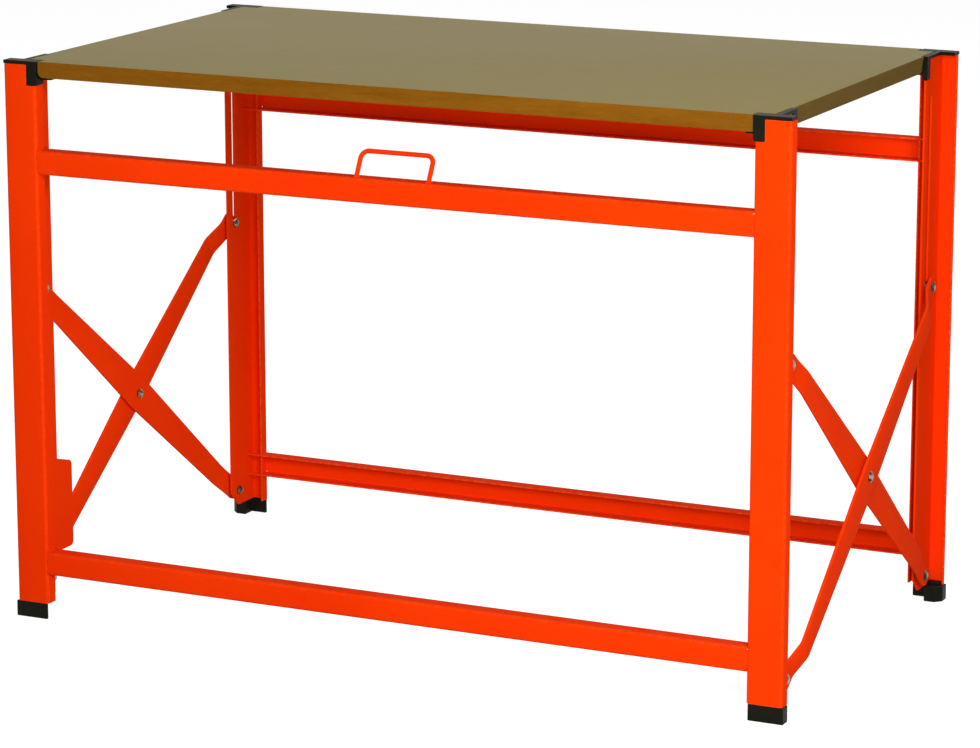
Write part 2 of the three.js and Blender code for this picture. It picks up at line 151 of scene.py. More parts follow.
def finish_material(name, low, high, rough, mottled, dust_and_edge_amounts, dusty, rub_and_light_colour, bump, settings):
    """A finish: its tone runs from low to high with the mottle; dust and a second colour along the
    marked edges, which is wear and painted light, lie over it; the roughness follows the tone, and the
    grain stands up by bump. The values of mottled, of the dust and edge amounts and of settings go to
    the mottle, the dust and edge group and the shader."""
    material = bpy.data.materials.new(name)
    material.use_nodes = True
    tree = material.node_tree
    shader = tree.nodes["Principled BSDF"]
    pattern = add_node(tree, "ShaderNodeGroup", node_tree=mottle)
    dust_and_edge_node = add_node(tree, "ShaderNodeGroup", node_tree=dust_and_edges)
    for node, values in ((shader, settings), (pattern, mottled), (dust_and_edge_node, dust_and_edge_amounts)):
        for key, value in values.items():
            node.inputs[key].default_value = value

    def laid_over(share, under, over):
        """One colour over another, by a share."""
        return add_node(tree, "ShaderNodeMix", {0: share, 6: under, 7: over}, data_type="RGBA").outputs[2]

    ground = laid_over(pattern.outputs["Tone"], low, high)
    dusted = laid_over(dust_and_edge_node.outputs["Dust"], ground, dusty)
    gloss = add_node(tree, "ShaderNodeMapRange", {0: pattern.outputs["Tone"], 3: rough[0], 4: rough[1]})
    relief = add_node(
        tree, "ShaderNodeBump", {"Height": pattern.outputs["Grain"], "Strength": 1.0, "Distance": bump})
    tree.links.new(laid_over(dust_and_edge_node.outputs["Rub and Light"], dusted, rub_and_light_colour), shader.inputs["Base Color"])
    tree.links.new(gloss.outputs[0], shader.inputs["Roughness"])
    tree.links.new(relief.outputs[0], shader.inputs["Normal"])
    return material


# The lighter second colour along the marked bends and sheet edges is painted highlight, broken up like
# wear.
orange_powder = finish_material(
    "orange_powder_coat", low=shade(238, 50, 3), high=shade(247, 60, 4), rough=(0.44, 0.58),
    mottled={"Cloud Scale": 5.0, "Speckle Scale": 700.0, "Speckle Share": 0.35, "Grain Scale": 650.0},
    dust_and_edge_amounts={"Dust": 0.06, "Rub and Light": 0.45}, dusty=shade(226, 150, 104), rub_and_light_colour=shade(255, 116, 56),
    bump=0.00008, settings={"Specular IOR Level": 0.005})


def skin(rings, wear_and_light=0.0, endless=False):
    """A closed shell over rings[i, j], point j of station i: neighbouring stations are joined by
    quads, and the first and last are filled, or joined to each other if the run is endless."""
    many, round_ = rings.shape[:2]
    at = np.arange(many * round_).reshape(many, round_)
    low, high = (at, np.roll(at, -1, 0)) if endless else (at[:-1], at[1:])
    quads = np.stack([low, np.roll(low, -1, 1), np.roll(high, -1, 1), high], -1).reshape(-1, 4).tolist()
    ends = [] if endless else [at[0, ::-1].tolist(), at[-1].tolist()]
    return rings.reshape(-1, 3), quads, ends, np.broadcast_to(wear_and_light, (many, round_)).ravel()


def set_down(name, shells, coats, body, stands_for=(), rounded=0.0, sharp=0.6, side_coats=0):
    """One finished piece: its shells as one mesh, smooth but for edges sharper than an angle,
    with rounded edges if asked. The second coat goes on the filled ends of the shells, and
    side_coats gives the numbers of those on the other faces."""
    starts = np.cumsum([0] + [len(s[0]) for s in shells])
    sides = [[int(v + a) for v in face] for s, a in zip(shells, starts) for face in s[1]]
    ends = [[int(v + a) for v in face] for s, a in zip(shells, starts) for face in s[2]]
    mesh = bpy.data.meshes.new(name)
    mesh.from_pydata(np.concatenate([s[0] for s in shells]).tolist(), [], sides + ends)
    mark = mesh.attributes.new("edge", "FLOAT", "POINT")
    mark.data.foreach_set("value", np.concatenate([s[3] for s in shells]).astype(np.float32))
    for coat in coats:
        mesh.materials.append(coat)
    if len(coats) > 1:
        chosen = np.r_[np.broadcast_to(side_coats, len(sides)), np.ones(len(ends))]
        mesh.polygons.foreach_set("material_index", chosen.astype(np.int32))
    turned = bmesh.new()
    turned.from_mesh(mesh)
    bmesh.ops.recalc_face_normals(turned, faces=turned.faces)
    turned.to_mesh(mesh)
    turned.free()
    mesh.polygons.foreach_set("use_smooth", np.ones(len(mesh.polygons), bool))
    mesh.set_sharp_from_angle(angle=sharp)
    made = bpy.data.objects.new(name, mesh)
    bpy.context.scene.collection.objects.link(made)
    if rounded:
        soft = made.modifiers.new("rounded_edges", "BEVEL")
        soft.width, soft.segments = rounded, 2
        soft.limit_method, soft.angle_limit = "ANGLE", sharp
        soft.harden_normals = True
    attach(made, body)
    if stands_for:
        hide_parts(*stands_for)
    return made


def body_of(node):
    """The moving body that a solid of the frame belongs to."""
    return frame["nodes"][node]["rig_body"]


def from_corner(side, end):
    """The rule that places points measured from an outer corner: a along its face, b in, z up."""
    return lambda a, b, z: np.stack(
        np.broadcast_arrays(side * (OUTER_X - a), end * (OUTER_Y - b), z), -1)


def circle(many):
    """The angles of points spaced evenly round a circle."""
    return np.linspace(0, 2 * np.pi, many, endpoint=False)


def folded_loop(face, lip, far_lip):
    """Section of a folded sheet, as (along the face, in from it): the outer line goes down a lip,
    round a quarter circle and along the face, and round again to the far lip if there is one; the
    inner line is the same one sheet further in. Also how much each point is marked: fully at the
    sheet's edges, and with a painted highlight that peaks halfway round each bend."""
    turn = np.linspace(0, np.pi / 2, 9)

    def line(inset):
        r = BEND - inset
        bend = np.c_[BEND - r * np.cos(turn), BEND - r * np.sin(turn)]
        first = np.r_[[[inset, lip], [inset, lip - EDGE_BAND]], bend]
        if far_lip:
            last = np.r_[bend[::-1], [[inset, far_lip - EDGE_BAND], [inset, far_lip]]]
            return np.r_[first, [face, 0] + last * [-1, 1]]
        return np.r_[first, [[face - EDGE_BAND, inset], [face, inset]]]

    # Halfway round each bend, inside and out, a painted highlight.
    half = np.r_[1, 0, BEND_HIGHLIGHT * np.sin(2 * turn)]
    wear_and_light = np.r_[half, half[::-1]] if far_lip else np.r_[half, 0, 1]
    return np.r_[line(0), line(SHEET)[::-1]], np.r_[wear_and_light, wear_and_light[::-1]]


def straight_run(loop, wear_and_light, low, high, place, worn_and_lit=(1, 1)):
    """A section carried along a straight line from low to high, with a narrow band at its ends
    marked for the edge colour, wear and painted highlight. place turns (along the face, in from it,
    along the line) into x, y, z."""
    along = np.array([low, low + EDGE_BAND, high - EDGE_BAND, high])[:, None]
    a, b, s = np.broadcast_arrays(loop[None, :, 0], loop[None, :, 1], along)
    band = np.array([[worn_and_lit[0]], [0], [0], [worn_and_lit[1]]])
    return skin(place(a, b, s), np.maximum(wear_and_light[None], band))


for corner, (side, end) in CORNERS.items():
    upright = from_corner(side, end)
    outer_lip = LEG_LIP if end < 0 else REAR_LIP
    set_down(
        "leg_" + corner,
        [straight_run(*folded_loop(LEG_FACE, outer_lip, LEG_LIP), LEG_LOW, LEG_CUT, upright, (1, 0)),
         straight_run(*folded_loop(LEG_CUT_FACE, outer_lip, 0), LEG_CUT, LEG_HIGH, upright, (0, 1))],
        [orange_powder], body_of(corner + "_leg"), [corner + "_leg"])

# Guide plates: flat steel plates inside the legs, pierced for the lower pivot and slotted for the
# sliding bolt. Laser cut, welded to the inside of the leg's face and coated with the frame.
for corner in CORNERS:
    frame["nodes"][corner + "_guide_plate"].material_slots[0].material = orange_powder

# Rails: four C-channels of the same sheet, web outwards, between the legs. The ends of their
# flanges run on inside the legs as tabs, up to the guide plates.
RAIL_HEIGHT, RAIL_FLANGE = 0.036, 0.025
RAIL_REACH, TAB_REACH, TAB_FROM = 0.5657, 0.5917, 0.0203
UPPER_RAIL, LOWER_RAIL = 0.682, 0.069
RAILS = {"front_upper": (-1, UPPER_RAIL), "front_lower": (-1, LOWER_RAIL),
         "rear_upper": (1, UPPER_RAIL), "rear_lower": (1, LOWER_RAIL)}


def block(low, high):
    """A plain box between two corners, as a square carried from one height to the other."""
    (x0, y0, z0), (x1, y1, z1) = low, high
    square = np.array([[x0, y0], [x1, y0], [x1, y1], [x0, y1]])
    return skin(np.stack([np.c_[square, np.full(4, z)] for z in (z0, z1)]))


for rail, (end, low) in RAILS.items():
    crossways = lambda a, b, s: np.stack((s, end * (OUTER_Y - b), low + a), -1)
    channel = folded_loop(RAIL_HEIGHT, RAIL_FLANGE, RAIL_FLANGE)
    tabs = [
        block((side * RAIL_REACH, end * (OUTER_Y - TAB_FROM), low + z),
              (side * TAB_REACH, end * (OUTER_Y - RAIL_FLANGE), low + z + SHEET))
        for side in (-1, 1) for z in (0, RAIL_HEIGHT - SHEET)]
    set_down(
        "rail_" + rail, [straight_run(*channel, -RAIL_REACH, RAIL_REACH, crossways), *tabs],
        [orange_powder], body_of(rail + "_rail"), [rail + "_rail"])

# Welds: short runs in the grooves where the webs and flanges of the rails meet the legs, rippled
# by the torch and coated with the frame.
WEB_WELD, FLANGE_WELD, WELD_PITCH, WELD_RIPPLE = 0.0021, 0.0017, 0.0024, 0.13
WELD_SEAT, WELD_SHORT, WELD_PROUD, FLANGE_FROM_TO = 0.0036, 0.004, 0.0002, (0.006, 0.019)
ASKEW, BLUNT = (0.3, 0.5, 0.8), 0.002


def weld_run(start, stop, radius):
    """A weld: circles along a straight line, five to a ripple, their radius rising and falling
    once for each ripple and closing nearly to a point at both ends. ASKEW is a direction that no
    weld runs in, and BLUNT the share of its length that is left off at each end."""
    length = np.linalg.norm(stop - start)
    ahead = (stop - start) / length
    across = np.cross(ahead, ASKEW)
    across /= np.linalg.norm(across)
    s = np.linspace(BLUNT, 1 - BLUNT, int(length / WELD_PITCH) * 5)
    ripple = 1 + WELD_RIPPLE * np.cos(2 * np.pi * s * length / WELD_PITCH)
    r = radius * ripple * np.sqrt(1 - np.abs(2 * s - 1) ** 12)
    phi = circle(12)[:, None]
    ring = np.cos(phi) * across + np.sin(phi) * np.cross(ahead, across)
    return skin((start + (stop - start) * s[:, None])[:, None] + r[:, None, None] * ring[None])


for rail, (end, low) in RAILS.items():
    welds = []
    for side in (-1, 1):
        at = from_corner(side, end)
        heights = low + WELD_SHORT, low + RAIL_HEIGHT - WELD_SHORT
        welds.append(weld_run(*[at(LEG_FACE, WELD_SEAT, z) for z in heights], WEB_WELD))
        for z in (low - WELD_PROUD, low + RAIL_HEIGHT + WELD_PROUD):
            welds.append(weld_run(*[at(LEG_FACE, b, z) for b in FLANGE_FROM_TO], FLANGE_WELD))
    set_down("welds_" + rail, welds, [orange_powder], body_of(rail + "_rail"))

# Feet: moulded black plastic shoes, pushed into the lower ends of the legs. A thin wall lies under
# the leg's face, a block under its outer edge, and a plug holds them inside.
FOOT_TOP, PLUG_LOW, PLUG_TOP, FOOT_ROUND = 0.024, 0.023, 0.029, 0.0011
FOOT_LINE = np.array([[-2, -1], [51, -1], [51, 4], [25, 4], [25, 27], [8, 27], [-2, 17]]) / 1000
PLUG_NEAR, PLUG_FAR = (0.005, 0.0028), (0.0247, 0.0168)

black_plastic = finish_material(
    "black_moulded_plastic", low=shade(12, 13, 8), high=shade(22, 24, 15), rough=(0.40, 0.56),
    mottled={"Cloud Scale": 14.0, "Speckle Scale": 900.0, "Speckle Share": 0.5, "Grain Scale": 1500.0},
    dust_and_edge_amounts={"Dust": 0.10, "Rub and Light": 0.5}, dusty=shade(120, 118, 104), rub_and_light_colour=shade(92, 94, 84),
    bump=0.00006, settings={"Specular IOR Level": 0.06})

for corner, (side, end) in CORNERS.items():
    at = from_corner(side, end)
    shoe = np.stack([at(FOOT_LINE[:, 0], FOOT_LINE[:, 1], z) for z in (0, FOOT_TOP)])
    plug = block(at(*PLUG_NEAR, PLUG_LOW), at(*PLUG_FAR, PLUG_TOP))
    set_down("shoe_" + corner, [skin(shoe), plug], [black_plastic], body_of(corner + "_foot"),
             [corner + "_foot"], rounded=FOOT_ROUND)

# Caps: moulded black plastic, pressed on the upper ends of the legs and guide plates. The top is
# flush with the board; two arms hang down beside it, and ledges carry it from below.
CAP_TOP, CAP_UNDER, CAP_ROUND = 0.850, 0.845, 0.0008
CAP_LINE = np.array([[0, 0], [56.5, 0], [56.5, 21], [30.5, 21],
                     [30.5, 78.5], [22.5, 78.5], [22.5, 21], [0, 21]]) / 1000
ARMS = np.array([[[39, 0], [56.5, 21]], [[22.5, 64.5], [30.5, 78.5]]]) / 1000
ARM_LOW, ARM_SUNK, ARM_INSET, ARM_ROUND = 0.814, 0.0015, 0.0002, 0.0025
LEDGES = np.array([[[55.5, 14], [72.5, 37]], [[39, 20], [56.5, 37]], [[29.5, 64.5], [46.5, 78.5]]]) / 1000
LEDGE_LOW, LEDGE_HIGH = 0.8217, 0.8257
ROUND_POINTS = 7


def rounded_loop(low, high, radius):
    """A rectangle with round corners: quarter circles about four centres, one after the other."""
    turn = np.linspace(0, np.pi / 2, ROUND_POINTS)
    quarters = turn[None] + np.array([2, 3, 0, 1])[:, None] * np.pi / 2
    centre = np.array([[low[0] + radius, low[1] + radius], [high[0] - radius, low[1] + radius],
                       [high[0] - radius, high[1] - radius], [low[0] + radius, high[1] - radius]])
    return (centre[:, None] + radius * np.stack([np.cos(quarters), np.sin(quarters)], -1)).reshape(-1, 2)


for corner, (side, end) in CORNERS.items():
    at = from_corner(side, end)
    shells = [skin(np.stack([at(CAP_LINE[:, 0], CAP_LINE[:, 1], z) for z in (CAP_UNDER, CAP_TOP)]))]
    for (a0, b0), (a1, b1) in ARMS:
        loop = rounded_loop((a0 + ARM_INSET, ARM_LOW), (a1 - ARM_INSET, CAP_TOP - ARM_SUNK), ARM_ROUND)
        faces = b0 + ARM_INSET, b1 - ARM_INSET
        shells.append(skin(np.stack([at(loop[:, 0], b, loop[:, 1]) for b in faces])))
    for near, far in LEDGES:
        shells.append(block(at(*near, LEDGE_LOW), at(*far, LEDGE_HIGH)))
    set_down("top_" + corner, shells, [black_plastic], body_of(corner + "_cap"),
             [corner + "_cap"], rounded=CAP_ROUND)

# Carrying handle: a bent steel rod on the front upper rail, leaning back, welded on round its two
# feet and coated with the frame.
ROD_R, GRIP_HALF, GRIP_BEND, GRIP_CLEAR, GRIP_SHIN = 0.0035, 0.057, 0.0115, 0.0003, 0.012
GRIP_FOOT, GRIP_LEAN, GRIP_RISE = (0.016, -0.336, 0.718), 0.019, 0.035
FILLET_R, FILLET_RIPPLE, FILLET_RIPPLES = 0.0017, 0.12, 13
FILLET_X, FILLET_Y, FILLET_BACK, FILLET_UP = 0.0037, 0.0041, 0.0008, 0.0006

tall = np.hypot(GRIP_LEAN, GRIP_RISE)
back, up = GRIP_LEAN / tall, GRIP_RISE / tall
turn = np.linspace(0, np.pi / 2, 12)
left = np.r_[[[-GRIP_HALF, GRIP_CLEAR], [-GRIP_HALF, GRIP_SHIN]],
             np.c_[GRIP_BEND - GRIP_HALF - GRIP_BEND * np.cos(turn),
                   tall - GRIP_BEND + GRIP_BEND * np.sin(turn)]]
bow = np.r_[left, [[0, tall]], left[::-1] * [-1, 1]]
heading = np.gradient(bow, axis=0)
heading /= np.linalg.norm(heading, axis=1)[:, None]
phi = circle(20)


def lean(x, h, out):
    """A point of the handle's own plane, x across, h up along the lean and out square to it."""
    foot_x, foot_y, foot_z = GRIP_FOOT
    return np.stack([foot_x + x, foot_y + h * back - out * up, foot_z + h * up + out * back], -1)


# The rod is a circle carried along the bow, in the bow's own plane and square to it.
rod = lean(bow[:, :1] + ROD_R * heading[:, 1:] * np.cos(phi),
           bow[:, 1:] - ROD_R * heading[:, :1] * np.cos(phi),
           ROD_R * np.broadcast_to(np.sin(phi), (len(bow), len(phi))))
rod[..., 2] = np.maximum(rod[..., 2], GRIP_FOOT[2] + GRIP_CLEAR)
# A foot weld is a small circle carried round the rod, with ripples.
theta = circle(60)[:, None]
fillet = FILLET_R * (1 + FILLET_RIPPLE * np.cos(FILLET_RIPPLES * theta))
foot_welds = []
for side in (-1, 1):
    x = GRIP_FOOT[0] + side * GRIP_HALF + (FILLET_X + fillet * np.cos(phi)) * np.cos(theta)
    y = GRIP_FOOT[1] + FILLET_BACK + (FILLET_Y + fillet * np.cos(phi)) * np.sin(theta)
    z = GRIP_FOOT[2] + FILLET_UP + fillet * np.sin(phi)
    foot_welds.append(skin(np.stack([x, y, z], -1), endless=True))
set_down("handle_bow", [skin(rod)], [orange_powder], "front_frame", ["carry_handle"])
set_down("handle_welds", foot_welds, [orange_powder], "front_frame")

# Stop plate: a flat steel plate with two round corners, welded to the inner side of the front left
# guide plate, above the lower rail. Coated with the frame.
STOP_AT, STOP_THICK, STOP_EDGE, STOP_WEAR_AND_LIGHT = 0.0283, 0.003, 0.0006, 0.6
STOP_D, STOP_Z, STOP_FALL, STOP_R = (0.048, 0.112), (0.087, 0.239), 0.016, 0.008

# The two corners at the free side are round. The upper edge falls from the leg to that side.
loop = rounded_loop((STOP_D[0], STOP_Z[0]), (STOP_D[1], STOP_Z[1] - STOP_FALL), STOP_R)
at_leg = np.array([[STOP_D[0], STOP_Z[1]], [STOP_D[0], STOP_Z[0]]])
loop = np.r_[loop[ROUND_POINTS:3 * ROUND_POINTS], at_leg]
centre = loop.mean(0)
drawn_in = centre + (loop - centre) * (1 - STOP_EDGE / np.abs(loop - centre).max(0))
stations = [(STOP_AT, drawn_in), (STOP_AT + STOP_EDGE, loop),
            (STOP_AT + STOP_THICK - STOP_EDGE, loop), (STOP_AT + STOP_THICK, drawn_in)]
at = from_corner(*CORNERS["front_left"])
# The plate's rims are marked for the lighter edge colour: wear and painted highlight.
stop = skin(np.stack([at(a, p[:, 0], p[:, 1]) for a, p in stations]),
            np.array([[0], [STOP_WEAR_AND_LIGHT], [STOP_WEAR_AND_LIGHT], [0]]))
set_down("stop_flag", [stop], [orange_powder], "front_frame", ["stop_plate"])

# Braces: two crossed flat bars at each end of the bench, cut wider towards the crossing and bent
# inwards to the guide plates at both ends. Coated with the frame before they are bolted on.
BAR, BAR_END, BAR_MIDDLE, BAR_ROUND = 0.004, 0.016, 0.027, 0.0006
BAR_SEAT, BEND_FROM, BEND_TO, BEND_SOFT = 0.014, 0.018, 0.054, 0.005
OUTER_BAR, INNER_BAR = 0.002, 0.010
TIP_FROM, BEND_SPAN, STRAIGHT_FROM = 0.04, (0.006, 0.066), 0.1
PIVOT_Y, PIVOT_LOW, PIVOT_HIGH = 0.292, 0.049, 0.499034
BAR_LENGTH = np.hypot(2 * PIVOT_Y, PIVOT_HIGH - PIVOT_LOW)


def flat_bar(side, at, end):
    """A brace: a rectangle with round corners carried from pivot to pivot. Its half width is a
    circle at the ends and grows straight to the middle; its depth follows the two bends, each
    smoothed over 10 mm. Stations lie close at the tips and bends, and wide apart between."""
    tip = -BAR_END * np.cos(np.linspace(TIP_FROM, np.pi / 2, 14))
    u = np.r_[tip, np.linspace(*BEND_SPAN, 21), np.linspace(STRAIGHT_FROM, BAR_LENGTH / 2, 8)]
    u = np.r_[u, BAR_LENGTH - u[-2::-1]]
    near = np.minimum(u, BAR_LENGTH - u)
    half = np.where(near < 0, np.sqrt(np.maximum(BAR_END ** 2 - near ** 2, 0)),
                    BAR_END + (BAR_MIDDLE - BAR_END) * 2 * near / BAR_LENGTH)
    window = near[:, None] + np.linspace(-BEND_SOFT, BEND_SOFT, 11)
    depth = np.interp(window, [BEND_FROM, BEND_TO], [BAR_SEAT, at]).mean(1)
    corner_turn = np.linspace(0, np.pi / 2, 4)
    quarters = (corner_turn[None] + np.array([0, 1, 2, 3])[:, None] * np.pi / 2).ravel()
    sign_v, sign_t = np.repeat([1, -1, -1, 1], 4), np.repeat([1, 1, -1, -1], 4)
    v = sign_v * np.maximum(half - BAR_ROUND, 0)[:, None] + BAR_ROUND * np.cos(quarters)
    t = BAR / 2 + sign_t * (BAR / 2 - BAR_ROUND) + BAR_ROUND * np.sin(quarters)
    rise, run = (PIVOT_HIGH - PIVOT_LOW) / BAR_LENGTH, -end * 2 * PIVOT_Y / BAR_LENGTH
    x = side * (OUTER_X - depth[:, None] - t)
    y = end * PIVOT_Y + u[:, None] * run - v * rise
    z = PIVOT_LOW + u[:, None] * rise + v * run
    # The round corners of the section are marked for the lighter edge colour: wear and painted highlight.
    return skin(np.stack([x, y, z], -1), np.abs(np.sin(2 * quarters)))


for word, side in SIDES.items():
    for place, at, end in (("outer", OUTER_BAR, -1), ("inner", INNER_BAR, 1)):
        node = f"{word}_{place}_brace"
        set_down(f"bar_{word}_{place}", [flat_bar(side, at, end)], [orange_powder],
                 body_of(node), [node])

# Bolts and nuts: zinc-plated shoulder bolts with a domed head and a washer face, and hexagon lock
# nuts behind. Five at each end: two fixed pivots, two sliding in the slots, one at the crossing.
WASHER_R, WASHER, HEAD_BREAK = 0.0085, 0.0010, 0.0004
DOME_R, DOME_RISE, DOME_FROM = 0.0068, 0.0027, 0.02
SHANK_R, NECK_R, SHOULDER_R, SHOULDER_LEAST = 0.004, 0.0057, 0.008, 0.0095
TIP_PROUD, TIP_BREAK, LOOSE = 0.001, 0.0006, 0.0003
NUT_FLATS, NUT_HEIGHT = 0.013, 0.005
NUT_LINE = np.array([[6.6, 0], [7.6, 0.5], [7.6, 3.1], [6.4, 3.7],
                     [5.5, 3.75], [5.4, 4.7], [5.0, 5.0]]) / 1000
# How far each ring of the nut takes the dark second colour, most at the step to the collar.
NUT_DARKENING = np.array([0.4, 0.4, 0.4, 0.8, 1, 0.6, 0.3])[:, None]
# Painted shade on the bolt head: none at the middle of the dome, full from partway down it round the
# washer face, half from the shank on.
HEAD_SHADE = [1.5, 6, 10, 12], [0, 1, 1, 0.5]
PLATE = 0.025, 0.028
BOLTS = {
    "outer_pivot": (-PIVOT_Y, PIVOT_LOW, BAR_SEAT, PLATE, SHANK_R),
    "outer_slide": (PIVOT_Y, PIVOT_HIGH, BAR_SEAT, PLATE, NECK_R),
    "inner_pivot": (PIVOT_Y, PIVOT_LOW, BAR_SEAT, PLATE, SHANK_R),
    "inner_slide": (-PIVOT_Y, PIVOT_HIGH, BAR_SEAT, PLATE, NECK_R),
    "crossing": (0.0, (PIVOT_LOW + PIVOT_HIGH) / 2, OUTER_BAR, (INNER_BAR, INNER_BAR + BAR), SHANK_R)}

# The dark second colour is painted shade on the bolt heads, darkest at their rims, and darkens the nuts
# most at the step to the collar.
zinc_plate = finish_material(
    "zinc_plate", low=shade(122, 116, 98), high=shade(176, 169, 148), rough=(0.24, 0.40),
    mottled={"Cloud Scale": 180.0, "Speckle Scale": 1600.0, "Speckle Share": 0.4, "Grain Scale": 2600.0},
    dust_and_edge_amounts={"Dust": 0.05, "Rub and Light": 3.0}, dusty=shade(120, 112, 96), rub_and_light_colour=shade(52, 44, 34),
    bump=0.00003, settings={"Metallic": 1.0})


def round_axis(side, y, z, r, s, phi):
    """Points at radius r, depth s and angle phi round an axis that runs inwards from an end."""
    points = side * (OUTER_X - s), y + r * np.cos(phi), z + r * np.sin(phi)
    return np.stack(np.broadcast_arrays(*points), -1)


def turned_bolt(side, y, z, bar_at, far_from, far_to, neck):
    """A bolt: a line of (radius, depth) turned round its axis. The head is a quarter ellipse on a
    flat washer face, and the shoulder fills the way to the piece that the neck goes through. The
    head is given painted shade, darker and darker from its middle to its rim."""
    under, tip = bar_at - LOOSE, far_to + LOOSE + NUT_HEIGHT + TIP_PROUD
    dome = np.linspace(DOME_FROM, np.pi / 2, 9)
    line = np.r_[np.c_[DOME_R * np.sin(dome), under - WASHER - DOME_RISE * np.cos(dome)],
                 [[WASHER_R - HEAD_BREAK, under - WASHER], [WASHER_R, under - WASHER + HEAD_BREAK],
                  [WASHER_R, under], [SHANK_R, under]]]
    if far_from - bar_at > SHOULDER_LEAST:
        first, last = bar_at + BAR + LOOSE, far_from - LOOSE
        line = np.r_[line, [[SHANK_R, first], [SHOULDER_R, first], [SHOULDER_R, last],
                            [neck, last], [neck, far_to], [SHANK_R, far_to]]]
    line = np.r_[line, [[SHANK_R, tip - TIP_BREAK], [SHANK_R - TIP_BREAK, tip]]]
    # A neck as thin as the shank repeats a point, which is left out.
    line = line[np.r_[True, np.any(np.diff(line, axis=0), axis=1)]]
    head_shade = np.interp(np.arange(len(line)), *HEAD_SHADE)[:, None]
    return skin(round_axis(side, y, z, line[:, :1], line[:, 1:], circle(32)), head_shade)


def lock_nut(side, y, z, far_to):
    """A nut: a hexagon carried along its axis, each ring cut back to a circle, so that the ends of
    its corners are rounded off, and closed by a narrower round collar."""
    phi = circle(48)
    hexagon = NUT_FLATS / 2 / np.cos((phi + np.pi / 6) % (np.pi / 3) - np.pi / 6)
    r, s = np.minimum(hexagon, NUT_LINE[:, :1]), far_to + LOOSE + NUT_LINE[:, 1:]
    return skin(round_axis(side, y, z, r, s, phi), NUT_DARKENING)


for word, side in SIDES.items():
    for place, (y, z, bar_at, far, neck) in BOLTS.items():
        node = f"{word}_{place}"
        body = body_of(node + "_bolt")
        bolt, nut = turned_bolt(side, y, z, bar_at, *far, neck), lock_nut(side, y, z, far[1])
        set_down(f"bolt_{node}", [bolt], [zinc_plate], body, [node + "_bolt"])
        set_down(f"nut_{node}", [nut], [zinc_plate], body, [node + "_nut"])

# Board: a fibreboard panel faced with a satin olive-brown film, its long edges and ends oiled
# golden brown. Notched round the four caps, and laid on their ledges without fastenings.
BOARD_X, BOARD_Y, BOARD_LOW, BOARD_HIGH = 0.592, 0.342, 0.826, 0.850
NOTCH_X, NOTCH_Y = (0.5885, 0.5625), (0.2655, 0.323)
ARRIS, ARRIS_LIGHTER, ARRIS_MARKED_FROM, NOSE, NOSE_FROM = 0.0012, 0.7, 0.0001, (0.009, 0.0025), 0.002
UNDERCUT, CUT_PAST = 0.0145, 0.001

film_face = finish_material(
    "board_film", low=shade(134, 119, 64), high=shade(143, 128, 72), rough=(0.42, 0.54),
    mottled={"Stretch": (0.35, 1, 1), "Cloud Scale": 3.0, "Speckle Scale": 380.0,
             "Speckle Share": 0.45, "Grain Scale": 1100.0},
    dust_and_edge_amounts={"Dust": 0.05, "Rub and Light": 0.0}, dusty=shade(170, 158, 128), rub_and_light_colour=shade(150, 120, 70),
    bump=0.00003, settings={"Specular IOR Level": 0.05})
oiled_edge = finish_material(
    "board_edge", low=shade(113, 68, 3), high=shade(134, 84, 12), rough=(0.46, 0.62),
    mottled={"Stretch": (0.12, 0.12, 1), "Cloud Scale": 90.0, "Speckle Scale": 620.0,
             "Speckle Share": 0.4, "Grain Scale": 900.0},
    dust_and_edge_amounts={"Dust": 0.05, "Rub and Light": 0.5}, dusty=shade(170, 150, 110), rub_and_light_colour=shade(168, 118, 48),
    bump=0.00005, settings={"Specular IOR Level": 0.06})
# The ends take a darker, duller copy of the edge finish: painted shade on the walls that face the ends of
# the bench.
shaded_board_end = finish_material(
    "board_end_shaded", low=shade(88, 66, 18), high=shade(106, 82, 30), rough=(0.50, 0.66),
    mottled={"Stretch": (1, 0.2, 1), "Cloud Scale": 60.0, "Speckle Scale": 520.0,
             "Speckle Share": 0.45, "Grain Scale": 900.0},
    dust_and_edge_amounts={"Dust": 0.05, "Rub and Light": 0.5}, dusty=shade(160, 142, 104), rub_and_light_colour=shade(136, 104, 48),
    bump=0.00005, settings={"Specular IOR Level": 0.03})

# The outline is one quarter mirrored round. The lower corners beside the front arms are quarter
# circles, wide at the left and narrow at the right, and every arris is one too. The rear notches
# widen towards the underside, so that the caps clear the board as the frames close.
quarter = np.array([[BOARD_X, NOTCH_Y[0]], [NOTCH_X[0], NOTCH_Y[0]], [NOTCH_X[0], NOTCH_Y[1]],
                    [NOTCH_X[1], NOTCH_Y[1]], [NOTCH_X[1], BOARD_Y]])
outline = np.r_[quarter, quarter[::-1] * [-1, 1], quarter * [-1, -1], quarter[::-1] * [1, -1]]
step = np.roll(outline, -1, 0) - outline
normal = np.c_[step[:, 1], -step[:, 0]] / np.linalg.norm(step, axis=1)[:, None]
mitre = normal + np.roll(normal, 1, 0)
front_wall = (np.abs(outline[:, 0]) == NOTCH_X[1]) & (outline[:, 1] < 0)
rear_wall = (outline[:, 1] > 0) & (outline[:, 1] < BOARD_Y)
nose = np.where(outline[:, 0] < 0, *NOSE)
thick = BOARD_HIGH - BOARD_LOW
rise = ARRIS * (1 - np.cos(np.linspace(0, np.pi / 2, 5)))
heights = np.r_[rise, np.linspace(NOSE_FROM, NOSE[0], 7), thick - rise[::-1]][:, None]
from_face = np.minimum(heights, thick - heights)
inset = ARRIS - np.sqrt(np.maximum(ARRIS ** 2 - np.maximum(ARRIS - from_face, 0) ** 2, 0))
drawn_in = nose - np.sqrt(nose ** 2 - np.maximum(nose - heights, 0) ** 2)
cut_back = UNDERCUT * (thick + CUT_PAST - heights) / (thick + 2 * CUT_PAST)
x = outline[:, 0] - inset * mitre[:, 0] - front_wall * np.sign(outline[:, 0]) * drawn_in
y = outline[:, 1] - inset * mitre[:, 1] - rear_wall * cut_back
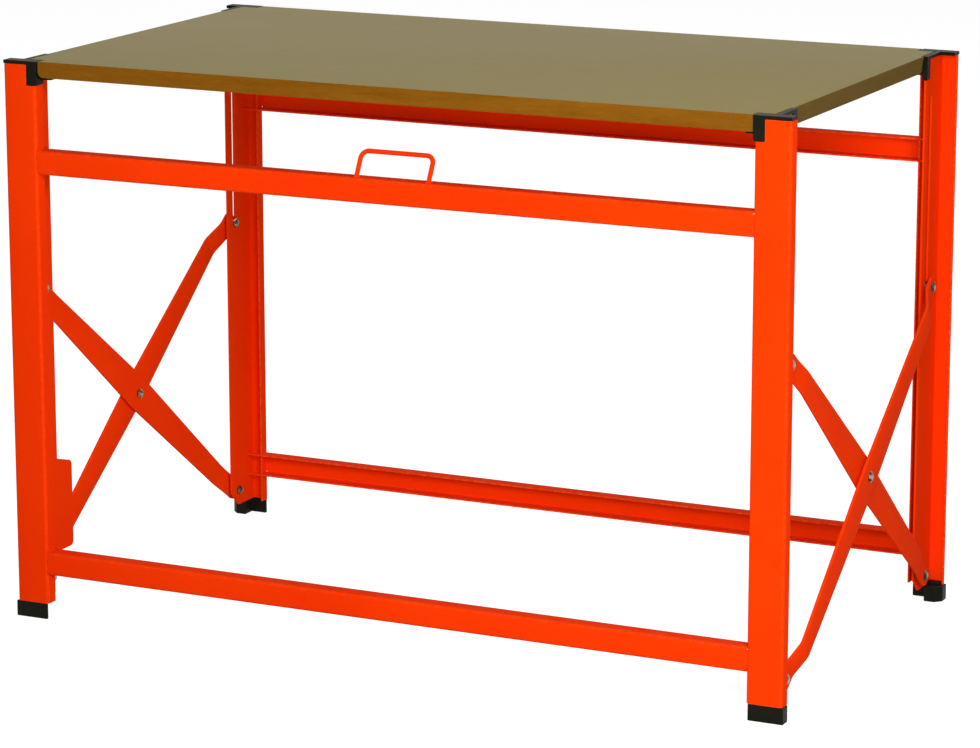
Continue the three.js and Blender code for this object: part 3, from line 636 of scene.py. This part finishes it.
slab = np.stack(np.broadcast_arrays(x, y, BOARD_LOW + heights), -1)
# Walls that look to an end of the bench take the third coat, the darker copy with painted shade;
# the others the first.
at_end = np.where(np.abs(normal[:, 0]) > 0.5, 2, 0)
# The arrises take the lighter second colour of the edge coats.
set_down("board_panel", [skin(slab, (inset > ARRIS_MARKED_FROM) * ARRIS_LIGHTER)], [oiled_edge, film_face, shaded_board_end],
         "worktop", ["worktop"], side_coats=np.tile(at_end, len(heights) - 1))

# Studio: a pale floor that keeps the bench's shadow, a large soft lamp near the right front corner,
# weak ones in front, overhead and behind, and an even white surround.
SKY_LIGHT, SKY_SEEN = 0.27, 1.0
FLOOR_HALF, FLOOR_DROP, FLOOR_TONE, FLOOR_LIGHT, FLOOR_SEEN = 30.0, 0.0005, 0.62, 0.0, 0.80
BENCH_MIDDLE, BOARD_MIDDLE = (0, 0, 0.45), (0, 0, 0.85)


def bright_share(tree, dim, bright):
    """The bright strength where seen straight, mirrored or through glass, and the dim one, which
    lights the bench, for all other rays."""
    path = add_node(tree, "ShaderNodeLightPath").outputs
    seen = joined(tree, "MAXIMUM", path["Is Camera Ray"], path["Is Glossy Ray"])
    seen = joined(tree, "MAXIMUM", seen, path["Is Transmission Ray"])
    return add_node(tree, "ShaderNodeMapRange", {0: seen, 3: dim, 4: bright}).outputs[0]


world = bpy.data.worlds.new("surround")
bpy.context.scene.world = world
world.use_nodes = True
tree = world.node_tree
sky = tree.nodes["Background"].inputs
sky["Color"].default_value = (1, 1, 1, 1)
tree.links.new(bright_share(tree, SKY_LIGHT, SKY_SEEN), sky["Strength"])

floor_mesh = bpy.data.meshes.new("floor")
floor_mesh.from_pydata(
    [(FLOOR_HALF * x, FLOOR_HALF * y, -FLOOR_DROP) for x, y in ((-1, -1), (1, -1), (1, 1), (-1, 1))],
    [], [(0, 1, 2, 3)])
floor = bpy.data.objects.new("floor", floor_mesh)
bpy.context.scene.collection.objects.link(floor)
pale = bpy.data.materials.new("pale_floor")
pale.use_nodes = True
tree = pale.node_tree
tree.nodes.remove(tree.nodes["Principled BSDF"])
matt = add_node(tree, "ShaderNodeBsdfDiffuse", {"Color": (FLOOR_TONE, FLOOR_TONE, FLOOR_TONE, 1)})
glow = add_node(
    tree, "ShaderNodeEmission",
    {"Color": (1, 1, 1, 1), "Strength": bright_share(tree, FLOOR_LIGHT, FLOOR_SEEN)})
both = add_node(tree, "ShaderNodeAddShader", {0: matt.outputs[0], 1: glow.outputs[0]})
tree.links.new(both.outputs[0], tree.nodes["Material Output"].inputs["Surface"])
floor_mesh.materials.append(pale)


def soft_lamp(name, place, aim, size, power):
    """A square lamp of that size, turned towards a point. Its power is in watts."""
    lamp = bpy.data.lights.new(name, "AREA")
    lamp.shape, lamp.size, lamp.energy = "SQUARE", size, power
    made = bpy.data.objects.new(name, lamp)
    bpy.context.scene.collection.objects.link(made)
    made.location = place
    made.rotation_euler = Vector(np.subtract(aim, place)).to_track_quat("-Z", "Y").to_euler()


soft_lamp("right_lamp", place=(1.75, -2.5, 1.5), aim=BENCH_MIDDLE, size=1.5, power=90)
soft_lamp("front_lamp", place=(-1.0, -4.2, 3.0), aim=BENCH_MIDDLE, size=2.0, power=16)
soft_lamp("top_lamp", place=(-1.2, 0.4, 3.6), aim=BOARD_MIDDLE, size=2.4, power=19)
soft_lamp("back_lamp", place=(1.4, 4.4, 3.0), aim=BENCH_MIDDLE, size=2.0, power=34)

# Camera: at the right of the front, a little above the board, with a long lens.
LENS, SENSOR = 141.8, 36.0
CAMERA_AT, LOOK_DOWN, LOOK_LEFT = (2.4499, -5.1182, 1.6750), 0.2268, 0.4451

eye = bpy.data.cameras.new("camera")
eye.lens, eye.sensor_width = LENS, SENSOR
camera = bpy.data.objects.new("camera", eye)
bpy.context.scene.collection.objects.link(camera)
camera.location = CAMERA_AT
camera.rotation_euler = (np.pi / 2 - LOOK_DOWN, 0, LOOK_LEFT)
bpy.context.scene.camera = camera
bpy.context.scene.view_settings.view_transform = "Standard"
